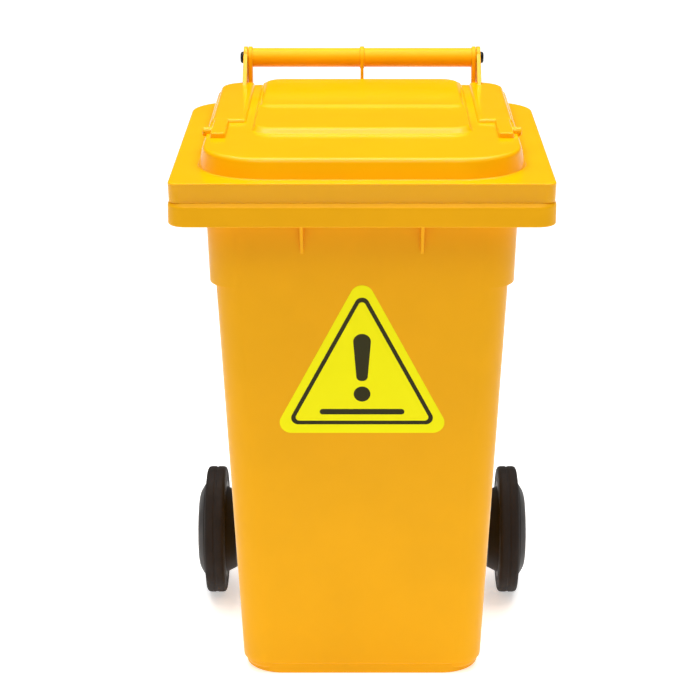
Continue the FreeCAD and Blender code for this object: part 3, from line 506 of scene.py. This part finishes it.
# ---------------------------------------------------------------- lid, in millimetres
# heights from the floor
LID_LOW, FLANGE, PLATEAU, DECK, PANEL = 712.1, 738, 764, 771, 774
# the skin's thickness, and the plans of the skirt's edge and of the flat middle of the panel
SKIN, SKIRT_EDGE, PANEL_MIDDLE = 3.6, (241.8, 269.6, 231.5, 15, 64), (110, -60, 195, 10, 15)
# each shoulder's limits, and how far its walls are moved in at each height
SHOULDER_IN, SHOULDER_OUT, SHOULDER_FRONT, SHOULDER_BACK, SHOULDER_CORNER = 154, 202, -38, 224, 42
SHOULDER_DRAFT = {762: [0], 766: [1.2], 767.6: [2.2], 768.6: [3.6], 769: [5.6, 9]}
CATCH_X, CATCH_Y, CATCH_LOW = 187.3, -85, 760
STUD_IN, STUD_OUT, STUD_RADIUS, STUD_Y, STUD_Z = 195, 209, 6, -97, 765.5
LATTICE_LOW, LATTICE_TOP, LATTICE_WIDTH, LATTICE_PITCH = 742, 761.5, 2.6, 70
LATTICE_SIDE, LATTICE_FRONT, LATTICE_BACK = 202, -243, 223
BUFFER_X, BUFFER_Y, SOCKET_BORE, SOCKET_RADIUS, SOCKET_LOW, SOCKET_TOP = 214, -246, 8.05, 10.5, 722, 737
LUG_IN, LUG_OUT, LUG_BITE, LUG_FOOT, LUG_TOE, LUG_BACK = 166, 172, 10, 231, 196, 12


def lid_path(inset):
    """The lid's skin from the edge of the flange up to the top of the panel, moved inwards."""
    rows = [
        ((FLANGE, FLANGE_HALF, FLANGE_FRONT, 233, 15, 64), 2.5),
        ((FLANGE, 210, 254, 229, 88, 62), 1.5),
        ((PLATEAU, 204, 246, 226, 80, 58), 6),
        ((PLATEAU, 145, 106, 224, 26, 26), 2.5),
        ((DECK, 141, 98.5, 224, 26, 26), 4.4),
        ((DECK, 139.5, -30, 221, 16, 22), 1.5),
        ((PANEL, 135.5, -36.5, 221, 16, 22), 3.2),
    ]
    return [(inwards(row, inset), size) for row, size in rows]


def lid_shell():
    """The lid's skin as a closed shell: up the inside, round the lower edge and up the outside."""
    start, end = ((PANEL - SKIN, *PANEL_MIDDLE), 0), ((PANEL, *PANEL_MIDDLE), 0)
    edge = [((LID_LOW, *inwards(SKIRT_EDGE, SKIN)), 0.6), ((LID_LOW, *SKIRT_EDGE), 0.2)]
    return solid([start, *lid_path(SKIN)[::-1], *edge, *lid_path(0), end], 18)


def block(rows, sizes, shift=(0, 0), arc=8):
    """A rounded block whose rows are (z, half width, half depth, corner)."""
    full = [(z, half, depth, depth, corner, corner) for z, half, depth, corner in rows]
    return loft(full, sizes, arc, (*shift, 0))


def lid_fittings():
    """What stands on the lid and under it: shoulders, catches, studs, lugs, lattice and buffer sockets."""
    made = []
    for side in (-1, 1):
        made.append(shoulder(side))
        catch = [(CATCH_LOW, 10.2, 46, 4), (DECK, 9.4, 45, 3.5), (DECK, 4, 38, 2)]
        made.append(block(catch, [0, 2.5, 0], (side * CATCH_X, CATCH_Y)))
        stud = [(STUD_IN, 0), (STUD_OUT, 0), (STUD_OUT, STUD_RADIUS), (STUD_IN, STUD_RADIUS)]
        made.append(lathe(stud, [0, 0, 2.5, 0], Vector((0, STUD_Y, STUD_Z)) * MM, side, 32))
        made += lug(side)
    heights, half = (LATTICE_LOW, LATTICE_TOP), LATTICE_WIDTH / 2
    for step in range(-2, 3):
        y = LATTICE_PITCH * step
        made.append(slab((-LATTICE_SIDE, LATTICE_SIDE), (y - half, y + half), heights, 0.5))
    for x in (-LATTICE_PITCH, LATTICE_PITCH):
        made.append(slab((x - half, x + half), (LATTICE_FRONT, LATTICE_BACK), heights, 0.5))
    return made + [socket(side) for side in (-1, 1)]


def shoulder(side):
    """A raised shoulder beside the deck, with a wide round at its outer back corner."""
    rings = []
    for z, drafts in SHOULDER_DRAFT.items():
        for draft in drafts:
            near, far = SHOULDER_IN + draft, SHOULDER_OUT - draft
            front, back = SHOULDER_FRONT + draft, SHOULDER_BACK - draft
            flat = round_outline(
                [(near, front), (far, front), (far, back), (near, back)],
                [4, 7, SHOULDER_CORNER - 2 * draft, 4], 10,
            )
            rings.append([Vector((side * x, y, z)) * MM for x, y in flat])
    return bridge(rings)


def socket(side, steps=48):
    """The ring under the flange that a buffer is pushed into."""
    angles = [math.tau * step / steps for step in range(steps)]
    profile = [
        (SOCKET_BORE, SOCKET_LOW), (SOCKET_RADIUS, SOCKET_LOW),
        (SOCKET_RADIUS, SOCKET_TOP), (SOCKET_BORE, SOCKET_TOP),
    ]
    rings = []
    for radius, z in profile:
        centre = Vector((side * BUFFER_X, BUFFER_Y, z))
        rings.append([(centre + radius * Vector((math.cos(a), math.sin(a), 0))) * MM for a in angles])
    return bridge(rings, closed_rows=True)


def lug(side):
    """A hinge lug: a plate up from the lid's back edge, and the ring that turns on the pin."""
    arc = [math.radians(a) for a in np.linspace(128, 310, 19)]
    bite = [(HINGE_Y + LUG_BITE * math.cos(a), HINGE_Z + LUG_BITE * math.sin(a)) for a in arc]
    start = [(LUG_FOOT, FLANGE - 1), (LUG_TOE, PLATEAU + 1), (HINGE_Y - LUG_BACK, HINGE_Z + 9.4)]
    outline = start + bite + [(HINGE_Y + LUG_BITE, HINGE_Z - LUG_BACK)]
    ring = [(LUG_IN, EYE_BORE), (LUG_OUT, EYE_BORE), (LUG_OUT, EYE), (LUG_IN, EYE)]
    plate = prism(outline, "X", *sorted((side * LUG_IN, side * LUG_OUT)), 1.2)
    return [plate, lathe(ring, [0.5, 0.5, 1.4, 1.4], HINGE, side)]


lid = finish_mesh(merge(lid_shell(), *lid_fittings()), "bin_lid", "lid", LID_PLASTIC)
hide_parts("lid")


# ---------------------------------------------------------------- wheels, in millimetres
# places along the axle, from the middle of the bin
KEY_IN, KEY_OUT, SEAM_IN, SEAM_OUT, CAP_BACK, SNAP_BACK = 213.5, 223.5, 216.5, 220.5, 235.5, 227.5
# thicknesses, gaps and depths
CAP_WALL, SNAP_WALL, CAP_CLEAR, CAP_GAP, GROOVE, SEAM = 2.4, 2, 0.05, 0.7, 0.8, 0.7
# radii
TYRE_BORE, KEY_BORE, CAP_FACE, SNAP_RADIUS = 72, 69, 55, 63.5
GROOVE_EDGES, GROOVE_FLOOR = (76, 81), (77.5, 79.5)


def tyre_section():
    """A tyre's section: a key inside for the hub, a seam round the tread and a groove in each side.
    The sizes are how far the rounding of each of its points reaches."""
    bore = [
        (WHEEL_IN, TYRE_BORE), (KEY_IN, TYRE_BORE), (KEY_IN, KEY_BORE),
        (KEY_OUT, KEY_BORE), (KEY_OUT, TYRE_BORE), (WHEEL_OUT, TYRE_BORE),
    ]
    floor = [(WHEEL_OUT - GROOVE, radius) for radius in GROOVE_FLOOR]
    groove = [(WHEEL_OUT, GROOVE_EDGES[0]), *floor, (WHEEL_OUT, GROOVE_EDGES[1])]
    bottom = TYRE_RADIUS - SEAM
    tread = [
        (WHEEL_OUT, TYRE_RADIUS), (SEAM_OUT, TYRE_RADIUS), (SEAM_OUT - 0.5, bottom),
        (SEAM_IN + 0.5, bottom), (SEAM_IN, TYRE_RADIUS), (WHEEL_IN, TYRE_RADIUS),
    ]
    inner_groove = [(WHEEL_IN + WHEEL_OUT - along, radius) for along, radius in groove[::-1]]
    sizes = [0.8, 0, 1, 1, 0, 0.8] + [0.5] * 4 + [10] + [0.4] * 4 + [10] + [0.5] * 4
    return bore + groove + tread + inner_groove, sizes


def cover_section():
    """A hub cover's section, and its sizes: a dome with a rolled edge just clear of the tyre, and a rim."""
    edge, inside = WHEEL_OUT + CAP_CLEAR, CAP_OUT - CAP_WALL
    profile = [
        (inside, 0), (CAP_OUT, 0), (CAP_OUT, CAP_FACE), (CAP_BACK, CAP_RADIUS), (edge, CAP_RADIUS),
        (edge, SNAP_RADIUS), (SNAP_BACK, SNAP_RADIUS), (SNAP_BACK, SNAP_RADIUS - SNAP_WALL),
        (WHEEL_OUT + CAP_GAP, SNAP_RADIUS - SNAP_WALL), (inside, CAP_FACE - SNAP_WALL),
    ]
    return profile, [0, 0, 9, 2, 0.3, 0.4, 1, 0.5, 1, 5]


def wheel(name, side):
    """A rubber tyre and a plastic cover that turn with their wheel."""
    body = "wheel_" + name
    ring = lathe(*tyre_section(), AXLE, side, 96)
    rubber = finish_mesh(ring, "rubber_" + name, body, TYRE_RUBBER, 35)
    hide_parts("tyre_" + name)
    dome = lathe(*cover_section(), AXLE, side, 96)
    cover = finish_mesh(dome, "cover_" + name, body, WHEEL_PLASTIC, 50)
    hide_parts("hub_cap_" + name)


for name, side in (("left", -1), ("right", 1)):
    wheel(name, side)


# ---------------------------------------------------------------- label, in millimetres up the front wall
LABEL_HALF, LABEL_LOW, LABEL_HIGH, LABEL_CORNER = 119, 379.5, 611.4, 15.5
BORDER_START, BORDER_END, BORDER_LIFT = 11.2, 16.6, 1.6
MARK_TOP, MARK_FOOT, MARK_HEAD, MARK_TIP, DOT_MIDDLE, DOT_RADIUS = 524, 456, 12.5, 7, 437, 11
BAR_HALF, BAR_LOW, BAR_HIGH, BAR_CORNER = 56, 407, 415, 3.9
FILM_BACK, FILM_FACE, INK_BACK, INK_FACE = 0.02, 0.36, 0.3, 0.48
LEAN = math.atan((BROW[1] - TOE[1]) / RIM_LOW)


def on_wall(x, along, out):
    """A point on the sloping front wall: along is measured up it from the floor, out is clear of it."""
    y = -TOE[1] - along * math.sin(LEAN) - out * math.cos(LEAN)
    z = along * math.cos(LEAN) - out * math.sin(LEAN)
    return Vector((x, y, z)) * MM


def sticker(outer, inner, low, high):
    """A thin flat shape on the front wall, with a hole if inner is given."""
    walls = [(outer, low), (outer, high)]
    if inner:
        walls += [(inner, high), (inner, low)]
    rings = [[on_wall(x, along, out) for x, along in shape] for shape, out in walls]
    return bridge(rings, closed_rows=bool(inner))


def triangle(inset, radius, lift=0.0):
    """The label's outline, moved inwards, with its foot lifted a little more."""
    foot = LABEL_LOW + inset + lift
    side = math.atan2(LABEL_HIGH - LABEL_LOW, LABEL_HALF)
    drop = inset / math.cos(side)
    spread = (LABEL_HIGH - drop - foot) / math.tan(side)
    spots = [(-spread, foot), (spread, foot), (0, LABEL_HIGH - drop)]
    return round_outline(spots, [radius] * 3, 12)


def exclamation_mark():
    """The two shapes of a plain exclamation mark: a stroke that narrows downwards, and a dot."""
    stroke = round_outline(
        [(-MARK_HEAD, MARK_TOP), (MARK_HEAD, MARK_TOP), (MARK_TIP, MARK_FOOT), (-MARK_TIP, MARK_FOOT)],
        [11.3, 11.3, 6.9, 6.9], 10,
    )
    angles = np.linspace(0, math.tau, 41)[:-1]
    return [stroke, [(DOT_RADIUS * math.cos(a), DOT_MIDDLE + DOT_RADIUS * math.sin(a)) for a in angles]]


def label():
    """A yellow film on the front wall, printed with a border, an exclamation mark and a bar."""
    sheet = sticker(triangle(0, LABEL_CORNER), None, FILM_BACK, FILM_FACE)
    film = finish_mesh(sheet, "label_film", "root", LABEL_FILM)
    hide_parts("label")
    bar = round_outline(box_outline(-BAR_HALF, BAR_HALF, BAR_LOW, BAR_HIGH), [BAR_CORNER] * 4, 6)
    borders = [triangle(BORDER_START, 9.5, BORDER_LIFT), triangle(BORDER_END, 5, BORDER_LIFT)]
    shapes = [borders, *[(shape, None) for shape in (*exclamation_mark(), bar)]]
    ink = merge(*[sticker(outer, inner, INK_BACK, INK_FACE) for outer, inner in shapes])
    finish_mesh(ink, "label_ink", "root", LABEL_INK)


label()


# ---------------------------------------------------------------- finish of the CAD pieces that stay
FINISHES = {
    "axle": ("axle_steel", AXLE_STEEL),
    "hinge_pin": ("pin_plastic", PIN_PLASTIC),
    "lid_buffer": ("buffer_rubber", BUFFER_RUBBER),
    "wheel_hub": ("wheel_plastic", WHEEL_PLASTIC),
    "latch_pin": ("pin_plastic", PIN_PLASTIC),
    "latch_spring": ("spring_steel", SPRING_STEEL),
    "axle_washer": ("washer_plastic", WASHER_PLASTIC),
}
for node, piece in frame["nodes"].items():
    for start, (slot, material) in FINISHES.items():
        if node.startswith(start):
            piece.data.materials.clear()
            piece.data.materials.append(material)


# ---------------------------------------------------------------- stage, light and camera, in metres
FLOOR_REACH, FLOOR_BACK = 40, 60
PAPER_DARK, PAPER_LIGHT, PAPER_ROUGHNESS, PAPER_GRAIN = 0.93, 0.95, 0.9, 3
FLOOR_GLOW = {"From Min": -1.1, "From Max": -0.15, "To Min": 0.0, "To Max": 0.5}
BACKDROP = [(0, 0.5), (0.05, 0.45), (0.12, 0.05), (0.5, 0.03), (0.75, 1.05), (1, 1.05)]
FRONT = [(0, 0.04), (0.4, 0.05), (0.7, 0.75)]
TURN_TO_BACK = {"From Min": -0.75, "From Max": 0.0}
LIGHTS = [
    # name, location, target, width, depth, power
    ("key", (-0.5, -2.6, 3.2), (0, 0, 0.4), 2.4, 1.0, 19),
    ("top", (0, 0.3, 3.2), (0, 0.1, 0.6), 3.0, 1.4, 64),
    ("strip", (0, -0.85, 3.0), (0, -0.25, 0.75), 2.6, 0.18, 22),
]
CAMERA_PLACE, CAMERA_TILT, CAMERA_LENS, CAMERA_SHIFT = (0, -2.950, 1.388), 0.313, 114.1, -0.0172


def stage():
    """A wide white floor that glows under the bin and behind it, and fades towards the camera."""
    material, nodes, links = new_material("paper")
    shader = nodes["Principled BSDF"]
    shader.inputs["Roughness"].default_value = PAPER_ROUGHNESS
    shader.inputs["Emission Color"].default_value = (1, 1, 1, 1)
    place = nodes.new("ShaderNodeSeparateXYZ")
    links.new(nodes.new("ShaderNodeTexCoord").outputs["Object"], place.inputs["Vector"])
    glow = smooth_range(nodes, links, place.outputs["Y"], FLOOR_GLOW)
    links.new(glow, shader.inputs["Emission Strength"])
    grain = nodes.new("ShaderNodeTexNoise")
    grain.inputs["Scale"].default_value = PAPER_GRAIN
    tone = nodes.new("ShaderNodeMix")
    tone.data_type = "RGBA"
    tone.inputs["A"].default_value = (PAPER_DARK, PAPER_DARK, PAPER_DARK, 1)
    tone.inputs["B"].default_value = (PAPER_LIGHT, PAPER_LIGHT, PAPER_LIGHT, 1)
    links.new(grain.outputs["Fac"], tone.inputs["Factor"])
    links.new(tone.outputs["Result"], shader.inputs["Base Color"])
    bm = bmesh.new()
    corners = box_outline(-FLOOR_REACH, FLOOR_REACH, -FLOOR_REACH, FLOOR_BACK)
    bm.faces.new([bm.verts.new((x, y, 0)) for x, y in corners])
    mesh = bpy.data.meshes.new("floor")
    bm.to_mesh(mesh)
    bm.free()
    floor = bpy.data.objects.new("floor", mesh)
    mesh.materials.append(material)
    bpy.context.scene.collection.objects.link(floor)


def area_light(name, location, target, width, depth, power):
    """A rectangular lamp that looks at a target."""
    lamp = bpy.data.lights.new(name, "AREA")
    lamp.shape = "RECTANGLE"
    lamp.size, lamp.size_y = width, depth
    lamp.energy = power
    light = bpy.data.objects.new(name, lamp)
    light.location = location
    light.rotation_euler = (Vector(target) - Vector(location)).to_track_quat("-Z", "Y").to_euler()
    bpy.context.scene.collection.objects.link(light)


def camera():
    """The view from in front and above."""
    lens = bpy.data.cameras.new("camera")
    lens.lens = CAMERA_LENS
    lens.shift_x = CAMERA_SHIFT
    viewer = bpy.data.objects.new("camera", lens)
    viewer.location = CAMERA_PLACE
    viewer.rotation_euler = (math.pi / 2 - CAMERA_TILT, 0, 0)
    bpy.context.scene.collection.objects.link(viewer)
    bpy.context.scene.camera = viewer


def studio():
    """A pale room: a white band low behind the bin and a dim wall over it, a dim front, a bright ceiling."""
    world = bpy.data.worlds.new("studio")
    world.use_nodes = True
    nodes, links = world.node_tree.nodes, world.node_tree.links
    place = nodes.new("ShaderNodeTexCoord")
    split = nodes.new("ShaderNodeSeparateXYZ")
    links.new(place.outputs["Generated"], split.inputs["Vector"])

    def ramp(source, points):
        """A grey level that follows points of (place, level)."""
        node = nodes.new("ShaderNodeValToRGB")
        node.color_ramp.elements.remove(node.color_ramp.elements[0])
        for i, (spot, level) in enumerate(points):
            entry = node.color_ramp.elements[0] if i == 0 else node.color_ramp.elements.new(spot)
            entry.position = spot
            entry.color = (level, level, level, 1)
        links.new(source, node.inputs["Fac"])
        return node.outputs["Color"]

    behind = ramp(split.outputs["Z"], BACKDROP)
    ahead = ramp(split.outputs["Z"], FRONT)
    mix = nodes.new("ShaderNodeMix")
    mix.data_type = "RGBA"
    links.new(smooth_range(nodes, links, split.outputs["Y"], TURN_TO_BACK), mix.inputs["Factor"])
    links.new(ahead, mix.inputs["A"])
    links.new(behind, mix.inputs["B"])
    links.new(mix.outputs["Result"], nodes["Background"].inputs["Color"])
    nodes["Background"].inputs["Strength"].default_value = 1
    bpy.context.scene.world = world


stage()
for light in LIGHTS:
    area_light(*light)
studio()
bpy.context.scene.view_settings.view_transform = "Standard"
camera()
